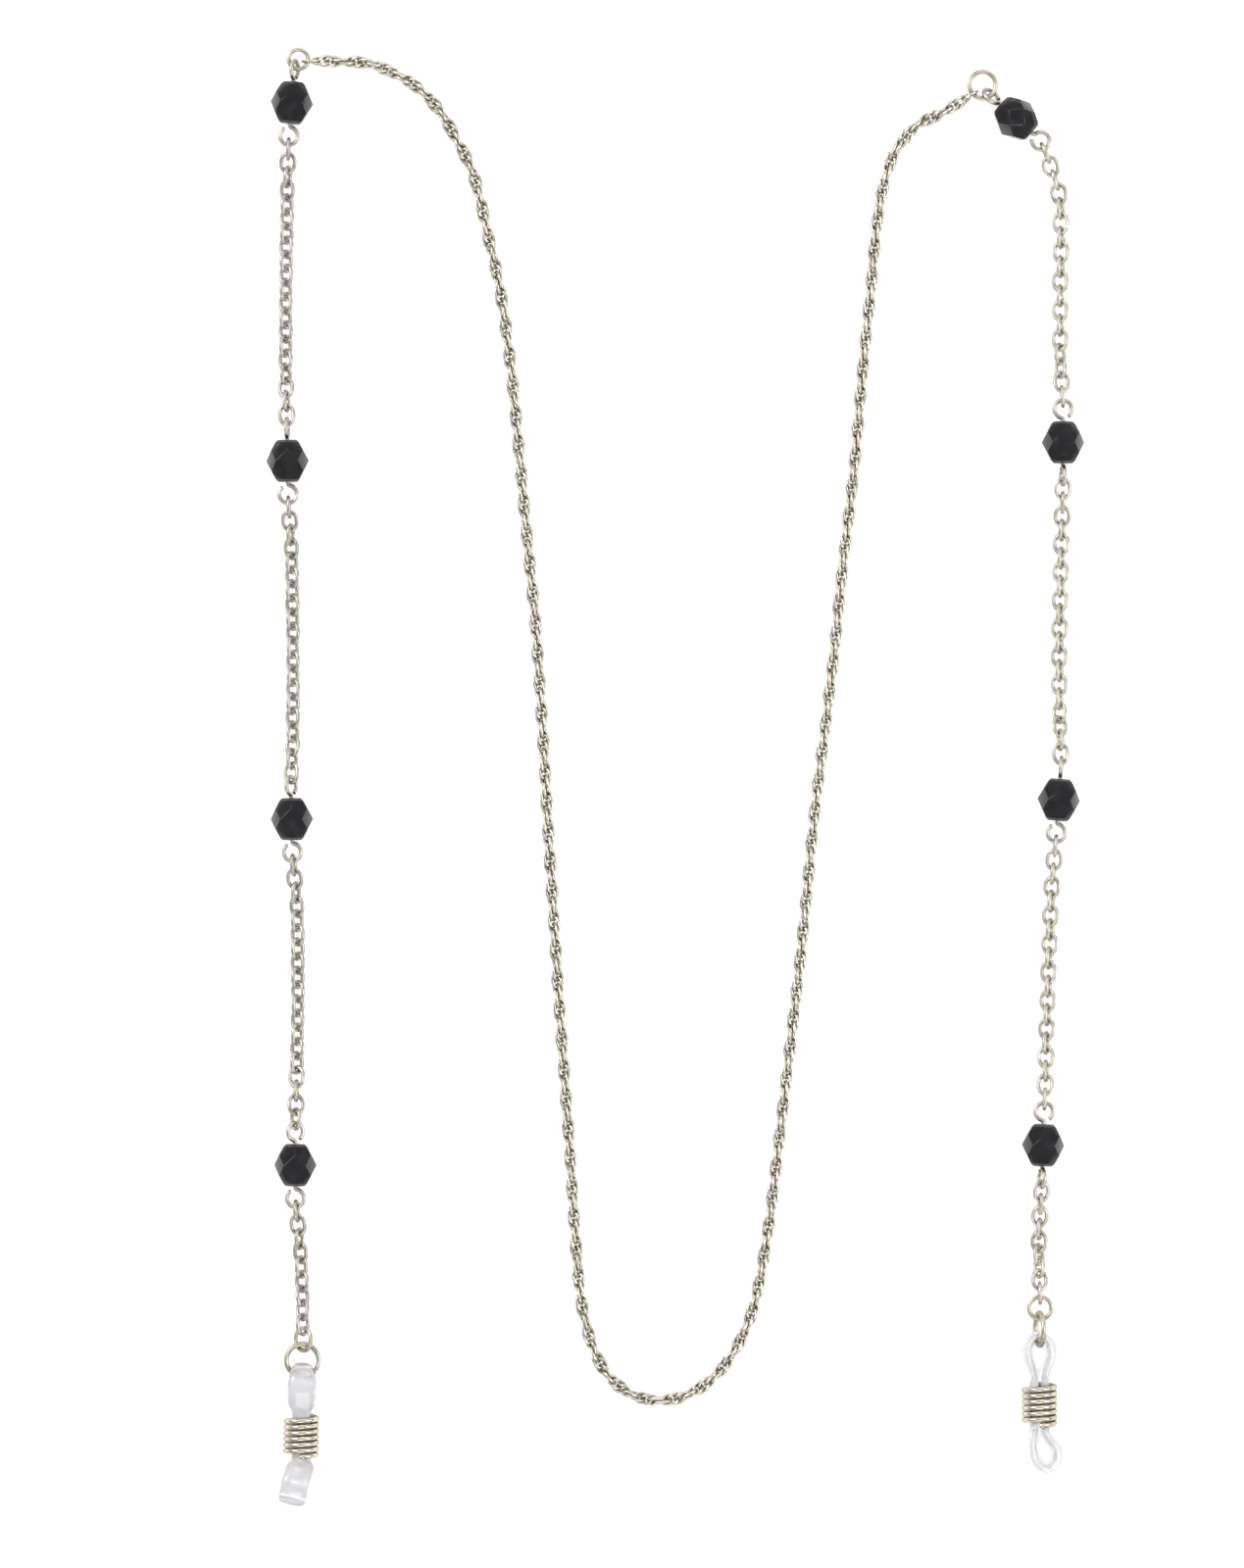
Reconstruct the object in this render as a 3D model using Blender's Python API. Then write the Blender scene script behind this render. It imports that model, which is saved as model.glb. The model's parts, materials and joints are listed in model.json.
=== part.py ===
"""Eyeglass retainer chain, laid out on a table: metres, +Z up, the table at z = 0.

A twisted rope chain lies in a deep U for the back of the neck. From each end of it hangs a drop: four
faceted glass beads on looped pins, joined by cable chain, then two jump rings and a rubber temple
gripper with a sliding wire coil. The origin is at the middle of the whole, on the table. +Y points to
the neck ends of the drops, and -Y to the grippers.
"""

from math import acos, ceil, cos, pi, radians, sin, sqrt

import bmesh
import bpy
from mathutils import Matrix, Vector

MM = 0.001
UP = Vector((0, 0, 1))

# Clearances
PLAY = 0.20 * MM          # between two interlocked wires, at their nearest
FACE_GAP = 0.30 * MM      # between chain solids that meet end to end
FIT_GAP = 0.15 * MM       # between the squeezed band and the inside of its coil
TABLE_GAP = 0.05 * MM     # under the chains, which lie on the table
RING_SLACK = 0.25 * MM    # between a top ring and its pin, which aren't pulled apart

# Glass beads: a girdle of diamond facets, kites above and below, and flat ends
BEAD_DIAMETER = 6.0 * MM
BEAD_LENGTH = 5.9 * MM
BEAD_SHOULDER = 2.6 * MM  # from the middle to where the kites end
BEAD_DIAMOND = 1.45 * MM  # half of a diamond's height
BEAD_FACETS = 6
BEAD_BORE = 1.1 * MM
BORE_MOUTH = 0.10 * MM    # how deep the bore's mouth is dished
BORE_SIDES = 12

# Looped pins
PIN_WIRE = 0.62 * MM
LOOP_OUTER = 3.1 * MM
LOOP_BEND = 0.45 * MM     # radius of the bend from the stem into a loop
LOOP_TURN = 325           # degrees of a loop before the wire is cut
LOOP_TO_BEAD = 0.2 * MM

# Cable chain
CABLE_WIRE = 0.65 * MM
CABLE_LENGTH = 3.4 * MM
CABLE_WIDTH = 2.6 * MM
CABLE_RUN = 2.4 * MM      # the chain's outer diameter where its links lie on the table

# Rope chain
ROPE_WIRE = 0.45 * MM
ROPE_LENGTH = 2.8 * MM
ROPE_WIDTH = 2.0 * MM
ROPE_RUN = 1.95 * MM
ROPE_SECTIONS = 7

# Rings: outer diameter and wire
TOP_RING = {"left": (3.4 * MM, 0.65 * MM), "right": (4.4 * MM, 0.70 * MM)}
SMALL_RING = (3.8 * MM, 0.65 * MM)
GRIPPER_RING = (5.3 * MM, 0.75 * MM)

# Rubber gripper band and its coil
COIL_OUTER = 5.05 * MM
COIL_WIRE = 0.75 * MM
COIL_PITCH = 0.84 * MM
COIL_TURNS = 6.5
NECK_THICK = 1.25 * MM    # each strand inside the coil
NECK_GAP = 0.30 * MM      # between the two strands there
BAND_THICK = 1.6 * MM
BAND_WIDTH = 3.4 * MM
TIP_THICK = 1.0 * MM      # where the band bends round its ring
TIP_WIDTH = 2.4 * MM
RING_SEAT = 0.75 * MM     # from the ring's middle to the tip's centreline
RING_LOOP = 6.8 * MM      # from the coil to the tip's centreline, on the ring's side
RING_BULGE = 0.66         # how far along that loop it is widest
TEMPLE_LOOP = 6.0 * MM    # the same, on the side that holds a temple arm
TEMPLE_BULGE = 0.58
LOOP_SPREAD = 1.8 * MM    # half of the widest distance between the strands' centrelines

# Corners of the band's rounded section: shares of half its width and half its thickness
CORNERS = [(1.0, 0.4), (0.62, 1.0), (-0.62, 1.0), (-1.0, 0.4)]
SECTION = CORNERS + [(-across, -through) for across, through in CORNERS]

# How finely the solids are cut
RING_POINTS = 20
LINK_POINTS = 12
LOOP_POINTS = 11
COIL_POINTS = 12          # for each turn
WIRE_SIDES = 6
CORD_SIDES = 8
CORD_STEP = 2.6           # diameters between a chain solid's points
BLUNT = 0.3               # diameters over which a chain solid narrows at its ends
BLUNT_TO = 0.45           # the share of its diameter that is left there
BEND_POINTS = 3           # of a pin's stem, where it bends into a loop
BULGE_POINTS = 5          # of the band, from the coil to its widest and from there to its tip
CURVE_POINTS = 16         # between two points of a route

SETTLE = 6.5 * MM         # length over which a chain comes down from a loop to the table

# The middle of the whole, in the layout's numbers
LAYOUT_MIDDLE = (-0.25, 0.64)

# The layout: middles of the beads, the way each pin points down its drop in degrees from -Y towards +X,
# and how far each of its two loops is turned up from lying flat
LAYOUT = {
    "left": {
        "beads": [
            ((-54.1, 95.4), -5, 70, 0),
            ((-54.7, 45.1), 1, 85, 0),
            ((-54.1, -5.2), 1, 60, 10),
            ((-53.6, -53.8), 0, 35, 10),
        ],
        "runs": [
            [(-54.8, 82.0), (-55.0, 66.0), (-55.0, 58.0)],
            [(-54.2, 33.0), (-54.0, 20.0), (-54.0, 7.0)],
            [(-53.4, -18.0), (-53.3, -31.0), (-53.5, -43.0)],
            [(-53.0, -65.0), (-52.7, -71.0)],
        ],
        "top_ring": (0.35, 1.0),
        "rope_leaves": (1.0, -0.15),
        "small_ring": ((-52.5, -78.3), -2, 45),
        "gripper": (-1, 0, 90, -11),
    },
    "right": {
        "beads": [
            ((47.6, 93.2), 48, 55, 0),
            ((54.2, 47.7), 0, 0, 80),
            ((53.6, -2.5), -4, 85, 0),
            ((51.4, -51.0), -2, 0, 75),
        ],
        "runs": [
            [(52.6, 86.2), (53.9, 81.0), (53.9, 68.0), (53.9, 59.0)],
            [(54.1, 35.0), (53.8, 20.0), (53.8, 8.0)],
            [(52.7, -15.0), (52.2, -29.0), (51.8, -41.0)],
            [(51.0, -61.0), (50.9, -68.0)],
        ],
        "top_ring": (-1.35, 1.75),
        "rope_leaves": (-0.76, -0.65),
        "small_ring": ((51.0, -73.9), -2, 0),
        "gripper": (0, 78, 0, 13),
    },
}

# The rope chain's route on the table, from the left drop to the right one
ROPE_ROUTE = [
    (-44.0, 101.2), (-40.2, 99.9), (-36.6, 97.8), (-33.4, 94.4), (-30.6, 89.6), (-28.5, 85.0),
    (-26.6, 77.0), (-24.8, 68.7), (-23.3, 57.7), (-22.2, 46.6), (-21.2, 35.6), (-20.1, 24.6),
    (-19.3, 13.5), (-18.6, 2.5), (-18.0, -8.6), (-17.3, -19.6), (-16.6, -30.6), (-15.8, -41.7),
    (-15.0, -52.7), (-14.3, -63.8), (-13.2, -74.4), (-10.8, -81.8), (-7.0, -85.8), (-2.2, -87.0),
    (2.6, -85.6), (7.0, -81.6), (10.6, -74.4), (12.7, -63.8), (14.1, -52.7), (15.4, -41.7),
    (16.7, -30.6), (17.9, -19.6), (19.3, -5.0), (20.9, 8.0), (22.2, 19.0), (23.3, 30.1),
    (24.9, 44.0), (26.1, 57.7), (27.2, 68.7), (28.3, 79.8), (30.2, 87.6), (33.4, 92.0),
    (37.4, 94.2),
]

BEAD_APOTHEM = BEAD_DIAMETER / 2 * cos(pi / BEAD_FACETS)
GRIPPER_RING_RADIUS = (GRIPPER_RING[0] - GRIPPER_RING[1]) / 2
# The drops' middles are on one level, which the fattest of what lies on the table gives: a bead on one
# of its diamonds, the coil, the band on its edge or the steepest of the big rings
STEEPEST = max(sin(radians(side["gripper"][1])) for side in LAYOUT.values())
LEVEL = max(
    BEAD_APOTHEM,
    COIL_OUTER / 2,
    LOOP_SPREAD + BAND_THICK / 2,
    GRIPPER_RING_RADIUS * STEEPEST + GRIPPER_RING[1] / 2,
)
LOOP_RADIUS = (LOOP_OUTER - PIN_WIRE) / 2
LOOP_REACH = BEAD_LENGTH / 2 + LOOP_TO_BEAD + LOOP_OUTER / 2
COIL_LENGTH = COIL_TURNS * COIL_PITCH + COIL_WIRE

# colour, roughness, metallic, alpha
FINISHES = {
    "chain": ((0.62, 0.60, 0.53), 0.30, 1.0, 1.0),
    "pin": ((0.66, 0.64, 0.58), 0.25, 1.0, 1.0),
    "coil": ((0.60, 0.57, 0.49), 0.28, 1.0, 1.0),
    "glass": ((0.006, 0.006, 0.007), 0.06, 0.0, 1.0),
    "rubber": ((0.93, 0.94, 0.95), 0.20, 0.0, 0.35),
}


def heading(degrees):
    """The way on the table that points that far round from -Y towards +X."""
    return Vector((sin(radians(degrees)), -cos(radians(degrees)), 0))


def across(direction, roll):
    """The way across a direction on the table: level at roll 0, straight up at roll 90."""
    return UP.cross(direction) * cos(radians(roll)) + UP * sin(radians(roll))


def at(place, height=LEVEL):
    """A point of the layout, which is in millimetres, at a height above the table."""
    x, y = place[0] - LAYOUT_MIDDLE[0], place[1] - LAYOUT_MIDDLE[1]
    return Vector((x * MM, y * MM, height))


def swings_on(loop, out, radius, roll):
    """The upright axis that a piece hooked in a loop swings on.

    A level loop slides round through the piece, so they turn about its middle. An upright one is held
    at its outermost wire. Out is the way from the loop's middle to where the piece is hooked.
    """
    return loop + out * (radius * sin(radians(roll)))


def hooked(radius, wire, other_radius, other_wire):
    """The distance between the middles of two interlocked rings that are pulled apart."""
    return radius + other_radius - (wire + other_wire) / 2 - PLAY


# Objects


def paint(obj, finish):
    colour, roughness, metallic, alpha = FINISHES[finish]
    material = bpy.data.materials.new(f"{obj.name}_{finish}")
    material.use_nodes = True
    shader = material.node_tree.nodes["Principled BSDF"]
    shader.inputs["Base Color"].default_value = (*colour, 1)
    shader.inputs["Roughness"].default_value = roughness
    shader.inputs["Metallic"].default_value = metallic
    shader.inputs["Alpha"].default_value = alpha
    obj.data.materials.append(material)


def add(name, data, origin, finish):
    """An object for data whose coordinates are counted from origin, on the axis that it turns on."""
    obj = bpy.data.objects.new(name, data)
    obj.location = origin
    bpy.context.scene.collection.objects.link(obj)
    obj.parent = WHOLE
    paint(obj, finish)
    return obj


def wire(name, points, thickness, origin, finish, closed=False, sides=WIRE_SIDES, radii=None):
    """Round wire along points, as a ring where it is closed and with flat ends where it isn't."""
    curve = bpy.data.curves.new(name, "CURVE")
    curve.dimensions = "3D"
    curve.bevel_depth = thickness / 2
    curve.bevel_resolution = (sides - 4) // 2
    curve.use_fill_caps = not closed
    spline = curve.splines.new("POLY")
    spline.points.add(len(points) - 1)
    for i, place in enumerate(points):
        spline.points[i].co = (*(place - origin), 1)
        spline.points[i].radius = radii[i] if radii else 1
    spline.use_cyclic_u = closed
    return add(name, curve, origin, finish)


def oval(middle, direction, side, length, width, count):
    """Points round an ellipse that is length long along direction and width wide along side."""
    turns = [2 * pi * i / count for i in range(count)]
    return [middle + direction * (length / 2 * cos(t)) + side * (width / 2 * sin(t)) for t in turns]


def link(name, middle, direction, roll, size, origin):
    """A chain link: size is its outer length, outer width and wire."""
    length, width, thickness = size
    side = across(direction, roll)
    points = oval(middle, direction, side, length - thickness, width - thickness, LINK_POINTS)
    return wire(name, points, thickness, origin, "chain", closed=True)


def ring(name, middle, direction, roll, size, origin):
    """A jump ring: size is its outer diameter and wire."""
    diameter, thickness = size
    across_it = diameter - thickness
    points = oval(middle, direction, across(direction, roll), across_it, across_it, RING_POINTS)
    return wire(name, points, thickness, origin, "chain", closed=True)


def loop_edges(verts):
    """The edges between neighbours in a closed loop of vertices."""
    return list(dict.fromkeys(e for v in verts for e in v.link_edges if e.other_vert(v) in verts))


# Beads and pins


def grind(bm, normal, distance):
    """Cuts a flat facet on a block, facing along normal and that far from the block's middle."""
    done = bmesh.ops.bisect_plane(
        bm, geom=bm.verts[:] + bm.edges[:] + bm.faces[:], dist=1e-7, plane_co=normal * distance,
        plane_no=normal, clear_outer=True,
    )
    edges = [e for e in done["geom_cut"] if isinstance(e, bmesh.types.BMEdge)]
    bmesh.ops.holes_fill(bm, edges=edges)


def bead_mesh():
    """A bead with its bore along X: diamonds round its girdle, kites, collars and flat ends."""
    radius = BEAD_DIAMETER / 2
    step = 2 * pi / BEAD_FACETS
    # a kite holds a corner of the girdle and a tip of each diamond beside it, and is ground as far as
    # the shoulder, where a collar facet starts at 45 degrees
    kite = Vector((radius - BEAD_APOTHEM * cos(step / 2), 0, BEAD_DIAMOND)).normalized()
    shoulder = radius - kite.x / kite.z * BEAD_SHOULDER
    collar = Vector((1, 0, 1)).normalized()
    facets = [(Vector((0, 0, 1)), BEAD_APOTHEM, 0)]
    for way in (-1, 1):
        facets.append((Vector((kite.x * way, 0, kite.z)), radius * kite.z, 0.5))
        facets.append((Vector((collar.x * way, 0, collar.z)), (BEAD_SHOULDER + shoulder) * collar.x, 0.5))
    bm = bmesh.new()
    bmesh.ops.create_cube(bm, size=2 * max(BEAD_DIAMETER, BEAD_LENGTH))
    for normal, distance, turn in facets:
        for i in range(BEAD_FACETS):
            grind(bm, Matrix.Rotation(step * (i + turn), 3, "X") @ normal, distance)
    mouths = []
    for way in (-1, 1):
        grind(bm, Vector((way, 0, 0)), BEAD_LENGTH / 2)
        flat = next(f for f in bm.faces if f.normal.x * way > 0.99)
        outline = list(flat.edges)
        bmesh.ops.delete(bm, geom=[flat], context="FACES_ONLY")
        mouth = Matrix.Translation((way * (BEAD_LENGTH / 2 - BORE_MOUTH), 0, 0))
        made = bmesh.ops.create_circle(
            bm, segments=BORE_SIDES, radius=BEAD_BORE / 2, matrix=mouth @ Matrix.Rotation(pi / 2, 4, "Y")
        )
        rim = loop_edges(made["verts"])
        bmesh.ops.bridge_loops(bm, edges=outline + rim)
        mouths += rim
    bmesh.ops.bridge_loops(bm, edges=mouths)
    bmesh.ops.recalc_face_normals(bm, faces=bm.faces)
    mesh = bpy.data.meshes.new("bead")
    bm.to_mesh(mesh)
    bm.free()
    return mesh


def loop_end(middle, out, side):
    """Points of one end of a pin: from the stem, round the bend, and round the loop to the cut."""
    slant = LOOP_BEND / (LOOP_RADIUS + LOOP_BEND)
    start = LOOP_REACH - (LOOP_RADIUS + LOOP_BEND) * sqrt(1 - slant**2)
    bend = acos(slant)
    points = []
    for i in range(BEND_POINTS):
        turn = bend * i / BEND_POINTS
        points.append((start + LOOP_BEND * sin(turn), LOOP_BEND * (1 - cos(turn))))
    first = pi / 2 - bend
    for i in range(LOOP_POINTS + 1):
        turn = first + (radians(LOOP_TURN) - first) * i / LOOP_POINTS
        points.append((LOOP_REACH - LOOP_RADIUS * cos(turn), LOOP_RADIUS * sin(turn)))
    return [middle + out * u + side * v for u, v in points]


def pin(name, middle, direction, top_roll, bottom_roll, origin):
    top = loop_end(middle, -direction, across(direction, top_roll))
    bottom = loop_end(middle, direction, across(direction, bottom_roll))
    return wire(name, top[::-1] + bottom, PIN_WIRE, origin, "pin")


# Chains that lie on the table


def distances(line):
    """How far along a line each of its points is."""
    along = [0.0]
    for a, b in zip(line, line[1:]):
        along.append(along[-1] + (b - a).length)
    return along


def point_at(line, along, distance):
    """The point that far along a line, given how far along each of its points is."""
    for i in range(1, len(line)):
        if along[i] >= distance:
            share = (distance - along[i - 1]) / (along[i] - along[i - 1])
            return line[i - 1].lerp(line[i], share)
    return line[-1]


def spaced(line, step):
    """A line's points again, about step apart, with its two ends."""
    along = distances(line)
    count = max(2, ceil(along[-1] / step))
    return [point_at(line, along, along[-1] * i / count) for i in range(count + 1)]


def smooth(points):
    """Closely set points on the smooth curve through the points given."""
    ends = [2 * points[0] - points[1], *points, 2 * points[-1] - points[-2]]
    fine = []
    for p, a, b, n in zip(ends, ends[1:], ends[2:], ends[3:]):
        for i in range(CURVE_POINTS):
            t = i / CURVE_POINTS
            fine.append(
                a
                + 0.5 * t * (b - p)
                + 0.5 * t * t * (2 * p - 5 * a + 4 * b - n)
                + 0.5 * t**3 * (3 * a - 3 * b + n - p)
            )
    fine.append(points[-1])
    return fine


def laid(start, route, end, diameter):
    """A chain's smooth line between two loops: it comes down to the table and lies on it."""
    low = diameter / 2 + TABLE_GAP
    stops = [Vector((start.x, start.y, 0)), *(at(p, 0) for p in route), Vector((end.x, end.y, 0))]
    line = spaced(smooth(stops), diameter / 2)
    for p in line:
        fall = min((p.xy - start.xy).length, (p.xy - end.xy).length, SETTLE) / SETTLE
        p.z = LEVEL + (low - LEVEL) * fall * fall * (3 - 2 * fall)
    return line


def chain_solid(name, line, diameter, origin):
    """A plain solid for chain along a line, with blunt ends that leave its neighbours room to turn."""
    body = spaced(line, CORD_STEP * diameter)
    first = body[0] + (body[1] - body[0]).normalized() * (BLUNT * diameter)
    last = body[-1] + (body[-2] - body[-1]).normalized() * (BLUNT * diameter)
    points = [body[0], first, *body[1:-1], last, body[-1]]
    radii = [BLUNT_TO, *[1] * (len(points) - 2), BLUNT_TO]
    return wire(name, points, diameter, origin, "chain", sides=CORD_SIDES, radii=radii)


def cable_run(side, number, start, start_roll, route, end, end_roll, end_ring=None):
    """Cable chain between two loops: a link hooked in each, and one solid for the links between.

    It turns on the axis of its first loop. end_ring is the outer diameter and wire of the ring that
    its last link is hooked in, where that isn't a pin's loop.
    """
    name = f"{side}_cable_{number}"
    size = CABLE_LENGTH, CABLE_WIDTH, CABLE_WIRE
    half = (CABLE_LENGTH - CABLE_WIRE) / 2
    diameter, thickness = end_ring or (LOOP_OUTER, PIN_WIRE)
    out = (at(route[0]) - start).normalized()
    onward = (end - at(route[-1])).normalized()
    first = start + out * hooked(LOOP_RADIUS, PIN_WIRE, half, CABLE_WIRE)
    last = end - onward * hooked((diameter - thickness) / 2, thickness, half, CABLE_WIRE)
    origin = swings_on(start, out, LOOP_RADIUS, start_roll)
    link(f"{name}_first_link", first, out, start_roll + 90, size, origin)
    link(f"{name}_last_link", last, onward, end_roll + 90, size, origin)
    reach = CABLE_LENGTH / 2 + FACE_GAP
    line = laid(first + out * reach, route, last - onward * reach, CABLE_RUN)
    chain_solid(f"{name}_links", line, CABLE_RUN, origin)


# The gripper


def gripper_outline():
    """The band's centreline as (along, across, width, thickness), from the ring's tip to the temple's.

    Along counts from the coil's middle, towards the temple arm. The band is squeezed in the coil and
    opens into a drop-shaped loop at each end.
    """
    neck = COIL_LENGTH / 2
    inside = (NECK_GAP + NECK_THICK) / 2
    bore = COIL_OUTER / 2 - COIL_WIRE - FIT_GAP
    neck_width = min(
        2 * sqrt(bore**2 - (inside + NECK_THICK / 2 * through) ** 2) / across
        for across, through in CORNERS
        if across > 0
    )
    half = []
    for way, reach, widest, tip in (
        (-1, RING_LOOP, RING_BULGE, (TIP_WIDTH, TIP_THICK)),
        (1, TEMPLE_LOOP, TEMPLE_BULGE, (BAND_WIDTH, BAND_THICK)),
    ):
        side = []
        bulge = widest * reach
        for i in range(BULGE_POINTS):
            t = i / (BULGE_POINTS - 1)
            ease = t * t * (3 - 2 * t)
            side.append(
                (
                    way * (neck + bulge * t),
                    inside + (LOOP_SPREAD - inside) * ease,
                    neck_width + (BAND_WIDTH - neck_width) * ease,
                    NECK_THICK + (BAND_THICK - NECK_THICK) * ease,
                )
            )
        for i in range(1, BULGE_POINTS + 1):
            t = i / BULGE_POINTS
            side.append(
                (
                    way * (neck + bulge + (reach - bulge) * sin(pi / 2 * t)),
                    LOOP_SPREAD * cos(pi / 2 * t),
                    BAND_WIDTH + (tip[0] - BAND_WIDTH) * t,
                    BAND_THICK + (tip[1] - BAND_THICK) * t,
                )
            )
        half.append(side)
    return half[0][::-1] + half[1]


def band(name, middle, direction, roll, lean, origin):
    """The rubber band: one closed strip, with its temple loop leaning sideways past the coil."""
    sideways = across(direction, roll)
    flat = direction.cross(sideways)
    one_side = gripper_outline()
    other_side = [(u, -v, w, t) for u, v, w, t in one_side[-2:0:-1]]
    path = one_side + other_side
    bm = bmesh.new()
    rows = []
    for i, (u, v, width, thick) in enumerate(path):
        before, after = path[i - 1], path[(i + 1) % len(path)]
        run = Vector((after[0] - before[0], after[1] - before[1])).normalized()
        normal = direction * -run.y + sideways * run.x
        bend = lean * min(max((u - COIL_LENGTH / 2) / (TEMPLE_LOOP / 2), 0), 1)
        pivot = middle + direction * (COIL_LENGTH / 2)
        swing = Matrix.Translation(pivot) @ Matrix.Rotation(radians(bend), 4, "Z")
        centre = middle + direction * u + sideways * v - pivot
        row = bmesh.ops.create_circle(bm, segments=len(SECTION), radius=1)["verts"]
        for vert, (edge, face) in zip(row, SECTION):
            place = centre + flat * (width / 2 * edge) + normal * (thick / 2 * face)
            vert.co = swing @ place - origin
        rows.append(row)
    for row, following in zip(rows, rows[1:] + rows[:1]):
        bmesh.ops.bridge_loops(bm, edges=loop_edges(row) + loop_edges(following))
    bmesh.ops.recalc_face_normals(bm, faces=bm.faces)
    mesh = bpy.data.meshes.new(name)
    bm.to_mesh(mesh)
    bm.free()
    return add(name, mesh, origin, "rubber")


def coil(name, middle, direction):
    """The close-wound wire coil that slides along the band."""
    side = across(direction, 0)
    radius = (COIL_OUTER - COIL_WIRE) / 2
    count = ceil(COIL_TURNS * COIL_POINTS)
    points = []
    for i in range(count + 1):
        turn = 2 * pi * COIL_TURNS * i / count
        advance = COIL_PITCH * COIL_TURNS * (i / count - 0.5)
        points.append(
            middle + direction * advance + side * (radius * cos(turn)) + UP * (radius * sin(turn))
        )
    return wire(name, points, COIL_WIRE, middle, "coil")


def gripper(side, ring_middle, direction, ring_roll):
    """The band on its ring, and the coil round it."""
    _, _, band_roll, lean = LAYOUT[side]["gripper"]
    middle = ring_middle + direction * (RING_SEAT + RING_LOOP + COIL_LENGTH / 2)
    origin = swings_on(ring_middle, direction, GRIPPER_RING_RADIUS, ring_roll)
    band(f"{side}_gripper_band", middle, direction, band_roll, lean, origin)
    coil(f"{side}_gripper_coil", middle, direction)


# The drops


def drop(side):
    """One drop, from the ring at the end of the rope to the gripper. Returns where that ring is."""
    plan = LAYOUT[side]
    beads = [(at(place), heading(turn), *rolls) for place, turn, *rolls in plan["beads"]]
    first_middle, first_way, first_roll, _ = beads[0]
    top = first_middle - first_way * LOOP_REACH
    ring_size = TOP_RING[side]
    ring_radius = (ring_size[0] - ring_size[1]) / 2
    ring_way = Vector((*plan["top_ring"], 0)).normalized()
    ring_middle = top + ring_way * (
        hooked(ring_radius, ring_size[1], LOOP_RADIUS, PIN_WIRE) - RING_SLACK
    )
    ring(f"{side}_top_ring", ring_middle, heading(0), 0, ring_size, ring_middle)

    turns_on = ring_middle
    for number, (middle, way, top_roll, bottom_roll) in enumerate(beads, 1):
        pin(f"{side}_pin_{number}", middle, way, top_roll, bottom_roll, turns_on)
        bead = add(f"{side}_bead_{number}", bead_mesh(), middle, "glass")
        bead.rotation_euler.z = way.to_2d().angle_signed(Vector((1, 0)))
        low_loop = middle + way * LOOP_REACH
        route = plan["runs"][number - 1]
        if number < len(beads):
            next_middle, next_way, next_roll, _ = beads[number]
            high_loop = next_middle - next_way * LOOP_REACH
            cable_run(side, number, low_loop, bottom_roll, route, high_loop, next_roll)
            turns_on = swings_on(high_loop, -next_way, LOOP_RADIUS, next_roll)
        else:
            place, turn, roll = plan["small_ring"]
            small_middle = at(place)
            cable_run(
                side, number, low_loop, bottom_roll, route, small_middle, roll, end_ring=SMALL_RING
            )

    way = heading(turn)
    small_radius = (SMALL_RING[0] - SMALL_RING[1]) / 2
    origin = swings_on(small_middle, -way, small_radius, roll)
    ring(f"{side}_small_ring", small_middle, way, roll, SMALL_RING, origin)
    reach = hooked(small_radius, SMALL_RING[1], GRIPPER_RING_RADIUS, GRIPPER_RING[1])
    big_middle = small_middle + way * reach
    gripper_turn, ring_roll, _, _ = plan["gripper"]
    gripper_way = heading(gripper_turn)
    origin = swings_on(big_middle, -way, GRIPPER_RING_RADIUS, ring_roll)
    ring(f"{side}_gripper_ring", big_middle, gripper_way, ring_roll, GRIPPER_RING, origin)
    gripper(side, big_middle, gripper_way, ring_roll)
    return ring_middle


def rope(left_ring, right_ring):
    """The rope chain between the two top rings: an end link in each ring and jointed sections."""
    size = ROPE_LENGTH, ROPE_WIDTH, ROPE_WIRE
    half = (ROPE_LENGTH - ROPE_WIRE) / 2
    ends = []
    for side, middle in (("left", left_ring), ("right", right_ring)):
        diameter, thickness = TOP_RING[side]
        way = Vector((*LAYOUT[side]["rope_leaves"], 0)).normalized()
        place = middle + way * hooked((diameter - thickness) / 2, thickness, half, ROPE_WIRE)
        link(f"{side}_rope_end_link", place, way, 90, size, middle)
        ends.append(place + way * (ROPE_LENGTH / 2 + FACE_GAP))
    line = laid(ends[0], ROPE_ROUTE, ends[1], ROPE_RUN)
    along = distances(line)
    cuts = [along[-1] * i / ROPE_SECTIONS for i in range(ROPE_SECTIONS + 1)]
    middle_section = ROPE_SECTIONS // 2
    for i in range(ROPE_SECTIONS):
        start = cuts[i] + (FACE_GAP / 2 if i else 0)
        end = cuts[i + 1] - (FACE_GAP / 2 if i < ROPE_SECTIONS - 1 else 0)
        inner = [p for p, s in zip(line, along) if start < s < end]
        piece = [point_at(line, along, start), *inner, point_at(line, along, end)]
        # a section turns on its end nearer the middle of the U
        turns_on = cuts[i + 1] if i < middle_section else cuts[i]
        chain_solid(f"rope_chain_{i + 1}", piece, ROPE_RUN, point_at(line, along, turns_on))


for obj in list(bpy.data.objects):
    bpy.data.objects.remove(obj)
WHOLE = bpy.data.objects.new("retainer_chain", None)
bpy.context.scene.collection.objects.link(WHOLE)
rope(drop("left"), drop("right"))
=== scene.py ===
"""Looks of the eyeglass retainer chain: every link, looped pin, faceted bead, coil and rubber band.

Metres, +Z up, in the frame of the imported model. The chain lies on a pale table and is seen from above.
"""

import json
from math import acos, ceil, copysign, cos, pi, radians, sin, sqrt

import bmesh
import bpy
from mathutils import Matrix, Vector


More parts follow.
